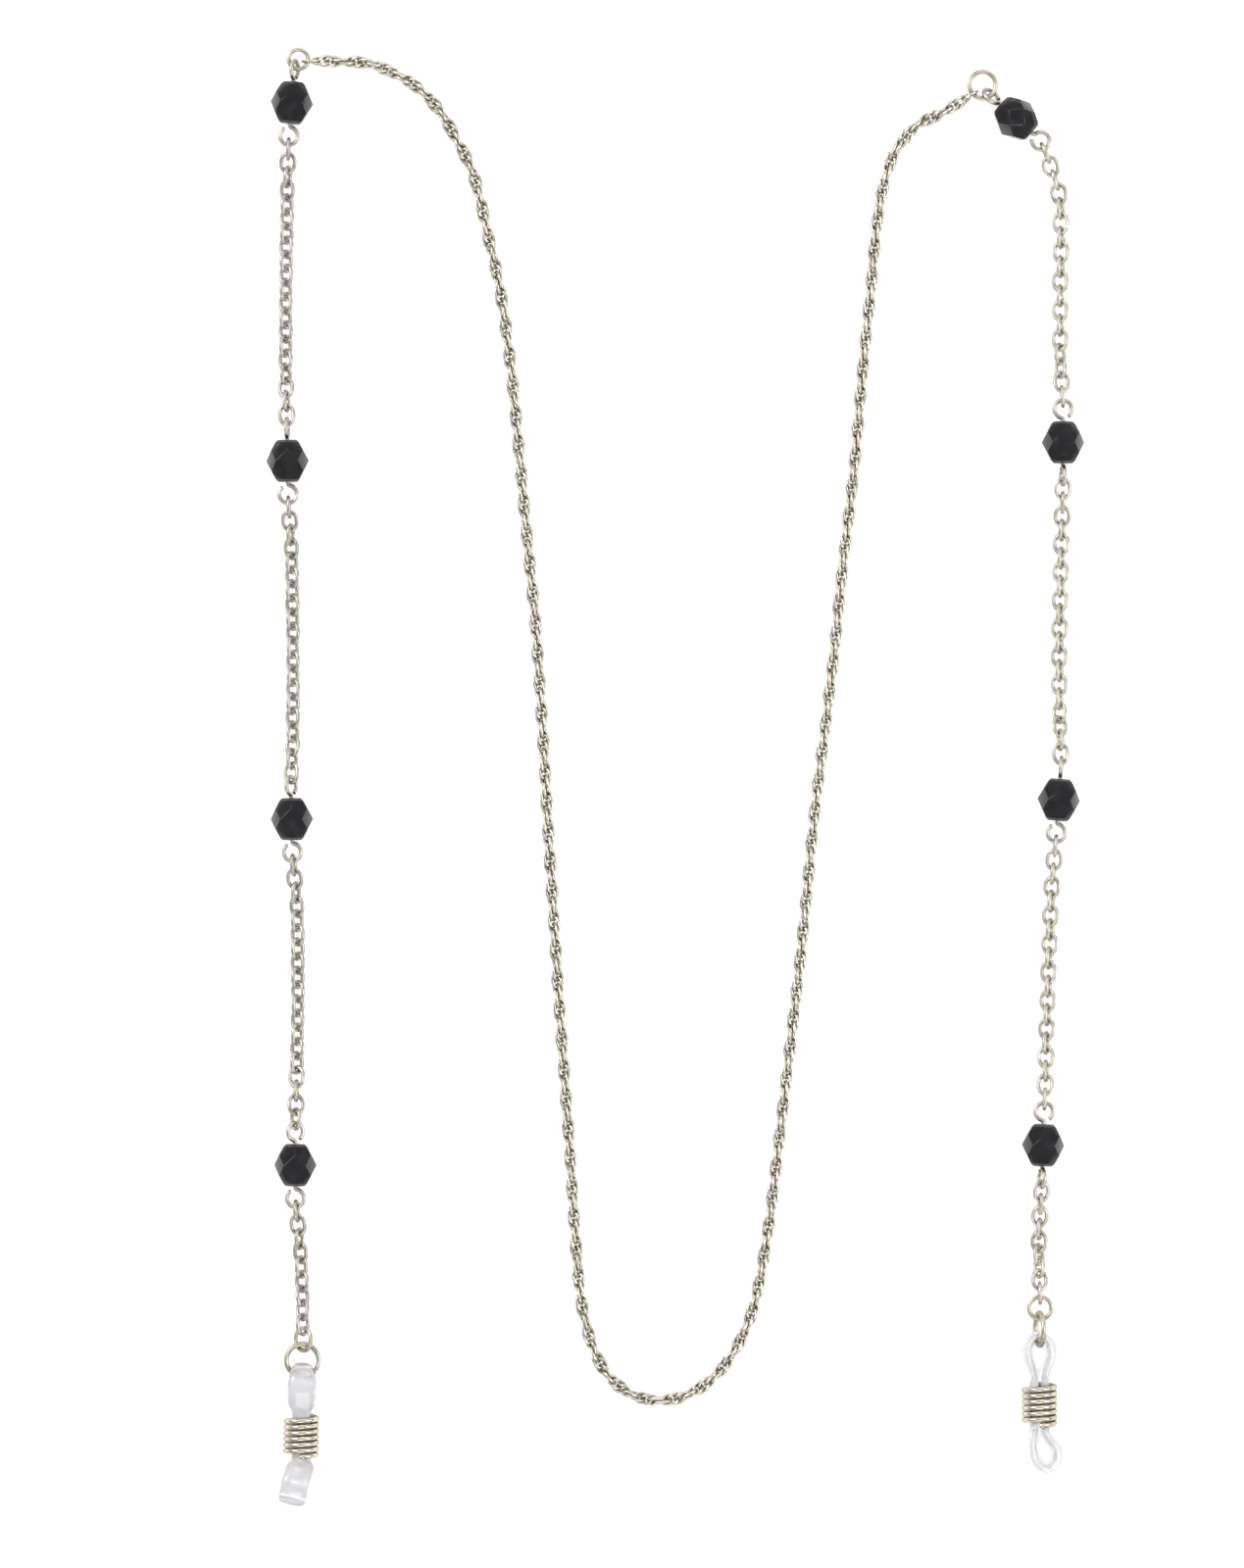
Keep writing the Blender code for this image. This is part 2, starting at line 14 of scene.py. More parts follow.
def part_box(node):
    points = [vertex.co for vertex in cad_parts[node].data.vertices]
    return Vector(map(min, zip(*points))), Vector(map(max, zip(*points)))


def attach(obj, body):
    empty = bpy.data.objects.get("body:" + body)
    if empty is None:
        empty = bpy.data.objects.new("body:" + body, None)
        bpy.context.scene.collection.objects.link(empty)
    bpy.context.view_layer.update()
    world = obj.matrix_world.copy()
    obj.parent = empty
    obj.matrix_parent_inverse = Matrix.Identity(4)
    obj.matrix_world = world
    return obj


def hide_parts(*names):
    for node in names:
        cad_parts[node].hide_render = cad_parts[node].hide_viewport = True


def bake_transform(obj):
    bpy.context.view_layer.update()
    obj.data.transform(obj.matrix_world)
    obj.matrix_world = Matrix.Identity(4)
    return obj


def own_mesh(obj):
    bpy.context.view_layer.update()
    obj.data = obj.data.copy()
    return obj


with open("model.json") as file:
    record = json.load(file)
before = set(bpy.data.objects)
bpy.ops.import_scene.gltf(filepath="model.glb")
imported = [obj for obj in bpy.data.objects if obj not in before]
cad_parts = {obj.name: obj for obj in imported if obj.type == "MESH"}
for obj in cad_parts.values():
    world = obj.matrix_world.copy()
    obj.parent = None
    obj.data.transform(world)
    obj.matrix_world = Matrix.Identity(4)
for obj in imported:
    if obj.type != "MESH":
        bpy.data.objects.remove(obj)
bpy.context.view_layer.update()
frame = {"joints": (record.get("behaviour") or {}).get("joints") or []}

MM = 0.001
UP = Vector((0, 0, 1))
LEVEL = 2.6 * MM          # how high the beads' and pins' middles lie
TABLE_GAP = 0.05 * MM
LINE_STEP = 0.4 * MM      # between the points of a chain's line
LINE_PARTS = 16           # of each stretch of a smooth curve, before its points are spaced out

# Rope chain: oval links, each turned a little further round than the last
ROPE_WIRE = 0.46 * MM
ROPE_LENGTH = 2.8 * MM
ROPE_WIDTH = 2.0 * MM
ROPE_PITCH = 0.95 * MM
ROPE_TWIST = 41           # degrees from one link to the next
ROPE_RUN = 1.95 * MM      # the rope's thickness, where it lies on the table
ROPE_HOOK = 1.32 * MM     # from an end link, which holds the ring, to the next link
ROPE_SECTIONS = 7
END_LENGTH = 0.56         # of a section, in the rope's first and last lengths

# Cable chain: oval links, each a quarter turn from the last
CABLE_WIRE = 0.61 * MM
CABLE_LENGTH = 3.4 * MM
CABLE_WIDTH = 2.6 * MM
CABLE_PITCH = 2.06 * MM
CABLE_RUN = 2.4 * MM
CABLE_EASE = 4            # links over which a run turns from its hooked end to lie on the table
WOBBLE = 3                # degrees by which links are turned unevenly
WOBBLE_STEP = 2.4         # radians of its wave from one link to the next

# Both chains
OVAL = 0.7                # 0 gives links with straight sides, 1 gives full ovals
SETTLE = 6.5 * MM         # over this length a chain comes down from a loop to the table

# Looped pins
PIN_WIRE = 0.62 * MM
LOOP_OUTER = 3.1 * MM
LOOP_BEND = 0.45 * MM
LOOP_TURN = 325           # degrees of wire in a loop
LOOP_RADIUS = (LOOP_OUTER - PIN_WIRE) / 2

# Beads
BEAD_DIAMETER = 6.0 * MM
BEAD_LENGTH = 5.9 * MM
BEAD_DIAMOND = 1.45 * MM  # half the length of a diamond facet
BEAD_SHOULDER = 2.6 * MM  # from the middle to where a kite facet meets the collar
BEAD_EDGE = 0.05 * MM     # how much is polished off each edge
BEAD_FACETS = 6
BEAD_BORE = 1.1 * MM
BORE_MOUTH = 0.10 * MM    # how far the bore's mouth is dished in
LOOP_GAP = 0.2 * MM       # between a bead and a loop
LOOP_REACH = BEAD_LENGTH / 2 + LOOP_GAP + LOOP_OUTER / 2

# Rings: outer diameter and wire
TOP_RING = {"left": (3.4 * MM, 0.65 * MM), "right": (4.4 * MM, 0.70 * MM)}
SMALL_RING = (3.8 * MM, 0.65 * MM)
GRIPPER_RING = (5.3 * MM, 0.75 * MM)
RING_TURN = 358           # degrees of wire in a ring, so that its cut shows as a hairline

# A wire's cut end: how far its chamfer goes in and out, in shares of its radius
CHAMFER_IN = 0.25
CHAMFER_OUT = 0.12

# Grippers
COIL_OUTER = 5.05 * MM
COIL_WIRE = 0.75 * MM
COIL_PITCH = 0.84 * MM
COIL_TURNS = 6.5
COIL_STEPS = 30           # in each turn
COIL_LENGTH = COIL_TURNS * COIL_PITCH + COIL_WIRE
NECK_THICK = 1.25 * MM
NECK_WIDTH = 2.5 * MM
NECK_GAP = 0.30 * MM
BAND_THICK = 1.6 * MM
BAND_WIDTH = 4.0 * MM     # of the cage, which is rounded off as it is subdivided
TIP_THICK = 1.0 * MM
TIP_WIDTH = 2.4 * MM
RING_LOOP = 6.8 * MM
TEMPLE_LOOP = 6.0 * MM
RING_BULGE = 0.66         # of the loop's length, up to where it is widest open
TEMPLE_BULGE = 0.58
LOOP_SPREAD = 1.8 * MM
MOUTH_SWELL = 2.5         # how much sooner the band gets wide outside its coil than it opens
BAND_SPLIT = 1.2 * MM     # the band's two halves meet here, past the coil's middle and out of sight
SPLIT_GAP = 0.01 * MM     # from there to each half

# Rows of the band's corners: in the coil, from there to where the band is widest, and round its tip
SPLIT_ROWS = 4
MOUTH_ROWS = 12
TIP_ROWS = 9

# Where things lie: the frame's origin is at this middle of the layout's points, in millimetres
LAYOUT_MIDDLE = (-0.25, 0.64)
LAYOUT = {
    "left": {
        "tilt": 40,       # how far the cable chains' wide links lean from lying flat
        "pin_rolls": [(70, 0), (85, 0), (60, 10), (35, 10)],  # of each pin's two loops
        "runs": [         # points that each cable chain's line passes through
            [(-54.8, 82.0), (-55.0, 66.0), (-55.0, 58.0)],
            [(-54.2, 33.0), (-54.0, 20.0), (-54.0, 7.0)],
            [(-53.4, -18.0), (-53.3, -31.0), (-53.5, -43.0)],
            [(-53.0, -65.0), (-52.7, -71.0)],
        ],
        "small_ring": (-2, 45),      # heading and roll
        "gripper": (-1, 0, 90, -11),  # heading, its ring's roll, the band's roll and lean
    },
    "right": {
        "tilt": 20,
        "pin_rolls": [(55, 0), (0, 80), (85, 0), (0, 75)],
        "runs": [
            [(52.6, 86.2), (53.9, 81.0), (53.9, 68.0), (53.9, 59.0)],
            [(54.1, 35.0), (53.8, 20.0), (53.8, 8.0)],
            [(52.7, -15.0), (52.2, -29.0), (51.8, -41.0)],
            [(51.0, -61.0), (50.9, -68.0)],
        ],
        "small_ring": (-2, 0),
        "gripper": (0, 78, 0, 13),
    },
}
ROPE_ROUTE = [            # points that the rope chain's line passes through
    (-44.0, 101.2), (-40.2, 99.9), (-36.6, 97.8), (-33.4, 94.4), (-30.6, 89.6), (-28.5, 85.0),
    (-26.6, 77.0), (-24.8, 68.7), (-23.3, 57.7), (-22.2, 46.6), (-21.2, 35.6), (-20.1, 24.6),
    (-19.3, 13.5), (-18.6, 2.5), (-18.0, -8.6), (-17.3, -19.6), (-16.6, -30.6), (-15.8, -41.7),
    (-15.0, -52.7), (-14.3, -63.8), (-13.2, -74.4), (-10.8, -81.8), (-7.0, -85.8), (-2.2, -87.0),
    (2.6, -85.6), (7.0, -81.6), (10.6, -74.4), (12.7, -63.8), (14.1, -52.7), (15.4, -41.7),
    (16.7, -30.6), (17.9, -19.6), (19.3, -5.0), (20.9, 8.0), (22.2, 19.0), (23.3, 30.1),
    (24.9, 44.0), (26.1, 57.7), (27.2, 68.7), (28.3, 79.8), (30.2, 87.6), (33.4, 92.0),
    (37.4, 94.2),
]

JOINTS = {joint["name"]: joint for joint in frame["joints"]}


def heading(degrees):
    """The way on the table that points that far round from -Y towards +X."""
    return Vector((sin(radians(degrees)), -cos(radians(degrees)), 0))


def across(direction, roll):
    """The way across a direction: level at roll 0 and upright at roll 90."""
    level = UP.cross(direction).normalized()
    return level * cos(radians(roll)) + direction.cross(level) * sin(radians(roll))


def placed(middle, direction, roll=0):
    """Puts a shape's X along a direction and its Y across it, with its origin at a point."""
    side = across(direction, roll)
    turned = Matrix((direction, side, direction.cross(side))).transposed().to_4x4()
    return Matrix.Translation(middle) @ turned


def at(place, height):
    """A point of the layout in the frame."""
    x, y = place[0] - LAYOUT_MIDDLE[0], place[1] - LAYOUT_MIDDLE[1]
    return Vector((x * MM, y * MM, height))


def middle_of(node):
    low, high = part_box(node)
    return (Vector(low) + Vector(high)) / 2


# Camera, straight above, with a long lens

FILM = 36                 # its width, in millimetres
CAMERA_HEIGHT = 1.1
SEEN_HEIGHT = 220.8 * MM
SEEN_MIDDLE = (-7.48 * MM, -0.92 * MM)


def make_camera():
    camera = bpy.data.objects.new("camera", bpy.data.cameras.new("camera"))
    bpy.context.scene.collection.objects.link(camera)
    camera.location = (*SEEN_MIDDLE, CAMERA_HEIGHT)
    camera.data.sensor_width = FILM
    camera.data.lens = FILM * CAMERA_HEIGHT / SEEN_HEIGHT
    camera.data.clip_start = 0.01
    bpy.context.scene.camera = camera


make_camera()


# Materials

NOISE_MIDDLE = (0.35, 0.65)
# Painted shade: the brown that the plating is darkened to in the gaps between wires and near the table
GAP_SHADE_COLOUR = (0.16, 0.12, 0.07, 1)
GAP_SHADE_REACH = 0.5 * MM  # between wires this close
GAP_SHADE_AO_RANGE = (0.20, 0.65)


class Finish:
    """A material under way, with short ways to add and wire its nodes."""

    def __init__(self, name):
        self.material = bpy.data.materials.new(name)
        self.material.use_nodes = True
        self.nodes = self.material.node_tree.nodes
        self.links = self.material.node_tree.links
        self.shader = self.nodes["Principled BSDF"]
        self.place = self.nodes.new("ShaderNodeTexCoord").outputs["Object"]

    def set(self, **values):
        for name, value in values.items():
            self.shader.inputs[name.replace("_", " ")].default_value = value

    def noise(self, size, detail=3.0):
        """Noise whose lumps are about size across."""
        node = self.nodes.new("ShaderNodeTexNoise")
        node.inputs["Scale"].default_value = 1 / size
        node.inputs["Detail"].default_value = detail
        self.links.new(self.place, node.inputs["Vector"])
        return node.outputs["Fac"]

    def ramp(self, source, stops):
        """The source's values as colours, blended between two stops."""
        node = self.nodes.new("ShaderNodeValToRGB")
        for element, (position, colour) in zip(node.color_ramp.elements, stops):
            element.position = position
            element.color = (*colour, 1)
        self.links.new(source, node.inputs["Fac"])
        return node.outputs["Color"]

    def spread(self, source, low, high):
        """Noise's middle range as values from low to high."""
        node = self.nodes.new("ShaderNodeMapRange")
        node.inputs["From Min"].default_value, node.inputs["From Max"].default_value = NOISE_MIDDLE
        node.inputs["To Min"].default_value = low
        node.inputs["To Max"].default_value = high
        self.links.new(source, node.inputs["Value"])
        return node.outputs["Result"]

    def painted_gap_shade(self, colour):
        """A colour darkened to brown where wires or the table close in round it: painted shade in the gaps
        between wires and under them.
        """
        gaps = self.nodes.new("ShaderNodeAmbientOcclusion")
        gaps.samples = 8
        gaps.inputs["Distance"].default_value = GAP_SHADE_REACH
        depth = self.nodes.new("ShaderNodeMapRange")
        depth.inputs["From Min"].default_value, depth.inputs["From Max"].default_value = GAP_SHADE_AO_RANGE
        mix = self.nodes.new("ShaderNodeMix")
        mix.data_type = "RGBA"
        mix.inputs["A"].default_value = GAP_SHADE_COLOUR
        self.links.new(gaps.outputs["AO"], depth.inputs["Value"])
        self.links.new(depth.outputs["Result"], mix.inputs["Factor"])
        self.links.new(colour, mix.inputs["B"])
        return mix.outputs["Result"]

    def bump(self, source, depth, strength):
        """A source as heights up to this depth."""
        node = self.nodes.new("ShaderNodeBump")
        node.inputs["Strength"].default_value = strength
        node.inputs["Distance"].default_value = depth
        self.links.new(source, node.inputs["Height"])
        self.links.new(node.outputs["Normal"], self.shader.inputs["Normal"])

    def drive(self, source, name):
        self.links.new(source, self.shader.inputs[name])


def plated(name, bright, dull, smooth, rough):
    """Silver-tone plating: patches of two tints, with painted shade between wires, uneven in its polish."""
    finish = Finish(name)
    finish.set(Metallic=1.0, Specular_Tint=(0.50, 0.45, 0.36, 1))
    patches = finish.ramp(finish.noise(2.4 * MM, 4.0), [(0.36, dull), (0.62, bright)])
    # Painted shade darkens the base colour in the gaps between wires
    finish.drive(finish.painted_gap_shade(patches), "Base Color")
    finish.drive(finish.spread(finish.noise(0.8 * MM), smooth, rough), "Roughness")
    finish.bump(finish.noise(0.22 * MM, 4.0), 0.005 * MM, 0.5)
    return finish.material


def black_glass():
    """Pressed black glass, fire-polished, with faint haze and dimples on its facets."""
    finish = Finish("black_glass")
    finish.set(IOR=1.52, Specular_IOR_Level=0.34)
    haze = finish.noise(1.6 * MM, 4.0)
    black = finish.ramp(haze, [(0.4, (0.004, 0.004, 0.005)), (0.7, (0.010, 0.010, 0.012))])
    finish.drive(black, "Base Color")
    finish.drive(finish.spread(finish.noise(0.9 * MM), 0.10, 0.20), "Roughness")
    finish.bump(finish.noise(1.1 * MM, 2.0), 0.05 * MM, 0.5)
    return finish.material


def clear_rubber():
    """Clear, slightly milky rubber with a soft skin and fine moulding ripples."""
    finish = Finish("clear_rubber")
    finish.set(Transmission_Weight=0.76, IOR=1.41)
    milk = finish.noise(2.5 * MM, 2.0)
    tint = finish.ramp(milk, [(0.3, (0.66, 0.655, 0.675)), (0.7, (0.76, 0.755, 0.77))])
    finish.drive(tint, "Base Color")
    finish.drive(finish.spread(finish.noise(1.2 * MM), 0.10, 0.22), "Roughness")
    finish.bump(finish.noise(1.4 * MM, 2.0), 0.02 * MM, 0.3)
    return finish.material


def table_top():
    finish = Finish("pale_table")
    finish.set(Roughness=0.6)
    white = finish.ramp(finish.noise(8 * MM), [(0.3, (0.90, 0.90, 0.90)), (0.7, (0.93, 0.93, 0.93))])
    finish.drive(white, "Base Color")
    return finish.material


FINISHES = {
    "left_chain": plated("silver_tone_left", (0.42, 0.40, 0.36), (0.35, 0.33, 0.29), 0.32, 0.44),
    "right_chain": plated("silver_tone_right", (0.49, 0.47, 0.42), (0.415, 0.395, 0.34), 0.36, 0.48),
    "rope": plated("silver_tone_rope", (0.56, 0.535, 0.47), (0.46, 0.435, 0.37), 0.28, 0.40),
    "pin": plated("bright_pin_wire", (0.46, 0.44, 0.395), (0.40, 0.38, 0.335), 0.36, 0.46),
    "ring": plated("silver_tone_rings", (0.48, 0.45, 0.39), (0.40, 0.37, 0.31), 0.34, 0.46),
    "coil": plated("spring_wire", (0.53, 0.50, 0.425), (0.44, 0.41, 0.335), 0.24, 0.36),
    "glass": black_glass(),
    "rubber": clear_rubber(),
}


# Making pieces


def as_mesh(bm, name):
    mesh = bpy.data.meshes.new(name)
    bm.to_mesh(mesh)
    bm.free()
    return mesh


def piece(name, bm, finish, slot, body, *nodes):
    """A finished piece that rides on a body, where one is named, and stands for CAD nodes."""
    mesh = as_mesh(bm, name)
    mesh.shade_smooth()
    mesh.materials.append(FINISHES[finish])
    obj = bpy.data.objects.new(name, mesh)
    bpy.context.scene.collection.objects.link(obj)
    if body:
        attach(obj, body)
    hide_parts(*nodes)
    return obj


def face_outward(bm):
    """Turns the faces of one closed shape outwards, which a spin can leave facing in."""
    bmesh.ops.recalc_face_normals(bm, faces=bm.faces)
    if bm.calc_volume(signed=True) < 0:
        bmesh.ops.reverse_faces(bm, faces=bm.faces)


def section(bm, radius, sides, place):
    """The wire's round section. Its plane holds the shape's own Z and the way out from it."""
    upright = Matrix.Translation(place) @ Matrix.Rotation(pi / 2, 4, "X")
    made = bmesh.ops.create_circle(bm, segments=sides, radius=radius, matrix=upright)
    return made["verts"] + loop_edges(made["verts"])


def loop_edges(verts):
    """The edges between these vertices, in a fixed order."""
    return list(dict.fromkeys(e for v in verts for e in v.link_edges if e.other_vert(v) in verts))


def link_mesh(length, width, wire, steps, sides):
    """A chain link along X: a ring of wire pulled out to an oval."""
    bm = bmesh.new()
    radius = (width - wire) / 2
    ring = section(bm, wire / 2, sides, (radius, 0, 0))
    bmesh.ops.spin(bm, geom=ring, cent=(0, 0, 0), axis=UP, angle=2 * pi, steps=steps, use_merge=True)
    bmesh.ops.remove_doubles(bm, verts=bm.verts, dist=wire / 1000)
    for vert in bm.verts:
        along = vert.co.x / vert.co.xy.length
        vert.co.x += copysign((length - width) / 2 * abs(along) ** OVAL, along)
    face_outward(bm)
    return as_mesh(bm, "link")


def add_copy(bm, mesh, place):
    copy = mesh.copy()
    copy.transform(place)
    bm.from_mesh(copy)
    bpy.data.meshes.remove(copy)


# Lines that chains lie on


def smooth_line(points, step):
    """Points about step apart on the smooth curve through the points given, with its two ends."""
    ends = [2 * points[0] - points[1], *points, 2 * points[-1] - points[-2]]
    fine = []
    for p, a, b, n in zip(ends, ends[1:], ends[2:], ends[3:]):
        for i in range(LINE_PARTS):
            t = i / LINE_PARTS
            fine.append(
                a
                + 0.5 * t * (b - p)
                + 0.5 * t * t * (2 * p - 5 * a + 4 * b - n)
                + 0.5 * t**3 * (3 * a - 3 * b + n - p)
            )
    fine.append(points[-1])
    whole = Line(fine)
    count = ceil(whole.length / step)
    return [whole.at(whole.length * i / count) for i in range(count + 1)]


def eased(t):
    """A share from 0 to 1 that starts and ends gently."""
    return t * t * (3 - 2 * t)


class Line:
    """A run of points, read by the distance along it."""

    def __init__(self, points):
        self.points = points
        self.along = [0.0]
        for a, b in zip(points, points[1:]):
            self.along.append(self.along[-1] + (b - a).length)
        self.length = self.along[-1]

    def at(self, distance):
        distance = min(max(distance, 0), self.length)
        for i in range(1, len(self.points)):
            if self.along[i] >= distance:
                span = self.along[i] - self.along[i - 1]
                share = (distance - self.along[i - 1]) / span if span else 0
                return self.points[i - 1].lerp(self.points[i], share)
        return self.points[-1]

    def way(self, distance, reach):
        return (self.at(distance + reach) - self.at(distance - reach)).normalized()

    def part(self, start, end):
        inner = [p for p, s in zip(self.points, self.along) if start < s < end]
        return Line([self.at(start), *inner, self.at(end)])


def laid(start, route, end, diameter):
    """The line of a chain from one point to another: it comes down to the table and lies on it."""
    low = diameter / 2 + TABLE_GAP
    places = [Vector((start.x, start.y, 0)), *(at(p, 0) for p in route), Vector((end.x, end.y, 0))]
    points = smooth_line(places, LINE_STEP)
    for p in points:
        fall = min((p.xy - start.xy).length, (p.xy - end.xy).length, SETTLE) / SETTLE
        p.z = LEVEL + (low - LEVEL) * eased(fall)
    return Line(points)


# The rope chain


def nearest_turn(angle, target, turn):
    """The angle closest to a target that looks the same, for a shape that repeats every turn."""
    return angle + turn * round((target - angle) / turn)


def make_rope():
    start, end = middle_of("left_rope_end_link"), middle_of("right_rope_end_link")
    line = laid(start, ROPE_ROUTE, end, ROPE_RUN)
    between = line.length - 2 * ROPE_HOOK
    steps = round(between / ROPE_PITCH)
    places = [0, *(ROPE_HOOK + between * i / steps for i in range(steps + 1)), line.length]
    count = len(places) - 1
    turn = 180 * round(ROPE_TWIST * count / 180) / count
    link = link_mesh(ROPE_LENGTH, ROPE_WIDTH, ROPE_WIRE, steps=10, sides=5)
    section_length = line.length / ROPE_SECTIONS
    cuts = [section_length * (i + 0.5) for i in range(ROPE_SECTIONS)]
    cuts[0] = section_length * END_LENGTH
    cuts[-1] = line.length - cuts[0]
    cuts = [0, *cuts, line.length]
    bodies = [f"rope_section_{i + 1}" for i in range(ROPE_SECTIONS)]
    bodies[ROPE_SECTIONS // 2] = "rope_middle"
    for number, (low, high) in enumerate(zip(cuts, cuts[1:])):
        bm = bmesh.new()
        for i, distance in enumerate(places):
            if low <= distance < high or (i == count and high == line.length):
                way = line.way(distance, ROPE_PITCH)
                add_copy(bm, link, placed(line.at(distance), way, 90 + turn * i))
        section_number = min(number, ROPE_SECTIONS - 1)
        nodes = [f"rope_chain_{section_number + 1}"]
        if number == 0:
            nodes.append("left_rope_end_link")
        if number == ROPE_SECTIONS:
            nodes.append("right_rope_end_link")
        free = 0 < number < ROPE_SECTIONS
        body = None if free else bodies[section_number]
        obj = piece(f"rope_length_{number + 1}", bm, "rope", "chain", body, *nodes)
        part = line.part(low, high)
        if free:
            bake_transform(obj)


# The cable chains


def make_cable(side, number, first_roll, last_roll):
    """One run of links: the two at its ends are turned to hook in their loops, the others lie down."""
    name = f"{side}_cable_{number}"
    nodes = [f"{name}_first_link", f"{name}_links", f"{name}_last_link"]
    start, end = middle_of(nodes[0]), middle_of(nodes[2])
    line = laid(start, LAYOUT[side]["runs"][number - 1], end, CABLE_RUN)
    count = ceil(line.length / CABLE_PITCH)
    lying = nearest_turn(LAYOUT[side]["tilt"], first_roll, 90)
    last_phase = nearest_turn(last_roll - 90 * count, lying, 180)
    link = link_mesh(CABLE_LENGTH, CABLE_WIDTH, CABLE_WIRE, steps=14, sides=7)
    bm = bmesh.new()
    ease = min(CABLE_EASE, count / 2)
    for i in range(count + 1):
        distance = line.length * i / count
        from_first, from_last = min(i / ease, 1), min((count - i) / ease, 1)
        phase = lying + (first_roll - lying) * (1 - from_first) + (last_phase - lying) * (1 - from_last)
        wobble = WOBBLE * sin(WOBBLE_STEP * i) * from_first * from_last
        way = line.way(distance, CABLE_PITCH / 2)
        add_copy(bm, link, placed(line.at(distance), way, phase + 90 * i + wobble))
    obj = piece(f"{name}_chain", bm, f"{side}_chain", "chain", name, *nodes)


# Beads and pins


def bead_mesh():
    """A faceted bead with its bore along X, cut from a block: diamonds round its girdle and kites."""
    radius = BEAD_DIAMETER / 2
    apothem = radius * cos(pi / BEAD_FACETS)
    inward = radius - apothem * cos(pi / BEAD_FACETS)
    kite = Vector((inward, 0, BEAD_DIAMOND)).normalized()
    collar = Vector((1, 0, 1)).normalized()
    shoulder = radius - inward / BEAD_DIAMOND * BEAD_SHOULDER
    bm = bmesh.new()
    bmesh.ops.create_cube(bm, size=3 * radius)
    cuts = [(Vector((0, 0, 1)), apothem, 0)]
    for way in (-1, 1):
        lean = Vector((kite.x * way, 0, kite.z))
        cuts.append((lean, radius * kite.z, 0.5))
        lean = Vector((collar.x * way, 0, collar.z))
        cuts.append((lean, (shoulder + BEAD_SHOULDER) * collar.x, 0.5))
    for normal, distance, facets_round in cuts:
        for i in range(BEAD_FACETS):
            turned = Matrix.Rotation(2 * pi * (i + facets_round) / BEAD_FACETS, 3, "X") @ normal
            cut(bm, turned, distance)
    for way in (-1, 1):
        cut(bm, Vector((way, 0, 0)), BEAD_LENGTH / 2)
    bmesh.ops.bevel(
        bm, geom=bm.edges[:], offset=BEAD_EDGE, offset_type="OFFSET", segments=2, profile=0.5,
        affect="EDGES", material=-1,
    )
    rims = []
    for way in (-1, 1):
        flat = max((f for f in bm.faces if f.normal.x * way > 0.999), key=lambda f: f.calc_area())
        outline = list(flat.edges)
        bmesh.ops.delete(bm, geom=[flat], context="FACES_ONLY")
        mouth = Matrix.Translation((way * (BEAD_LENGTH / 2 - BORE_MOUTH), 0, 0))
        made = bmesh.ops.create_circle(
            bm, segments=24, radius=BEAD_BORE / 2, matrix=mouth @ Matrix.Rotation(pi / 2, 4, "Y"),
        )
        rim = loop_edges(made["verts"])
        bmesh.ops.bridge_loops(bm, edges=outline + rim)
        rims += rim
    bmesh.ops.bridge_loops(bm, edges=rims)
    face_outward(bm)
    return bm


def cut(bm, normal, distance):
    """Grinds a flat facet that faces along normal, that far from the middle."""
    done = bmesh.ops.bisect_plane(
        bm, geom=bm.verts[:] + bm.edges[:] + bm.faces[:], dist=1e-7, plane_co=normal * distance,
        plane_no=normal, clear_outer=True,
    )
    edges = [e for e in done["geom_cut"] if isinstance(e, bmesh.types.BMEdge)]
    bmesh.ops.holes_fill(bm, edges=edges)


def make_bead(side, number):
    spin = JOINTS[f"{side}_bead_{number}_spin"]
    bm = bead_mesh()
    bm.transform(placed(Vector(spin["pos_m"]), Vector(spin["axis"]).normalized()))
    name = f"{side}_bead_{number}"
    obj = piece(f"{name}_glass", bm, "glass", "glass", f"{side}_glass_bead_{number}", name)
    obj.data.set_sharp_from_angle(angle=radians(20))


def loop_half(roll):
    """Half of a pin along X: from its middle to the bend, and round the loop to the cut end."""
    bm = bmesh.new()
    slant = LOOP_BEND / (LOOP_RADIUS + LOOP_BEND)
    bend = acos(slant)
    start = LOOP_REACH - (LOOP_RADIUS + LOOP_BEND) * sqrt(1 - slant**2)
    place = Matrix.Rotation(pi / 2, 4, "Y")
    made = bmesh.ops.create_circle(bm, segments=12, radius=PIN_WIRE / 2, matrix=place)
    stem = bmesh.ops.extrude_edge_only(bm, edges=loop_edges(made["verts"]))["geom"]
    ends = [g for g in stem if isinstance(g, bmesh.types.BMVert)]
    bmesh.ops.translate(bm, verts=ends, vec=(start, 0, 0))
    rim = ends + loop_edges(ends)
    turned = bmesh.ops.spin(
        bm, geom=rim, cent=(start, LOOP_BEND, 0), axis=UP, angle=bend, steps=6,
    )["geom_last"]
    turned = bmesh.ops.spin(
        bm, geom=turned, cent=(LOOP_REACH, 0, 0), axis=-UP,
        angle=radians(LOOP_TURN) - (pi / 2 - bend), steps=36,
    )["geom_last"]
    bmesh.ops.remove_doubles(bm, verts=bm.verts, dist=PIN_WIRE / 1000)
    close_ends(bm)
    face_outward(bm)
    bm.transform(Matrix.Rotation(radians(roll), 4, "X"))
    return bm


def close_ends(bm):
    """Closes each open end of a wire, with a chamfer."""
    bmesh.ops.holes_fill(bm, edges=[e for e in bm.edges if e.is_boundary])
    caps = [f for f in bm.faces if len(f.verts) > 4]
    face_outward(bm)
    for cap in caps:
        size = (cap.verts[0].co - cap.calc_center_median()).length
        bmesh.ops.inset_region(bm, faces=[cap], thickness=size * CHAMFER_IN, depth=size * CHAMFER_OUT)


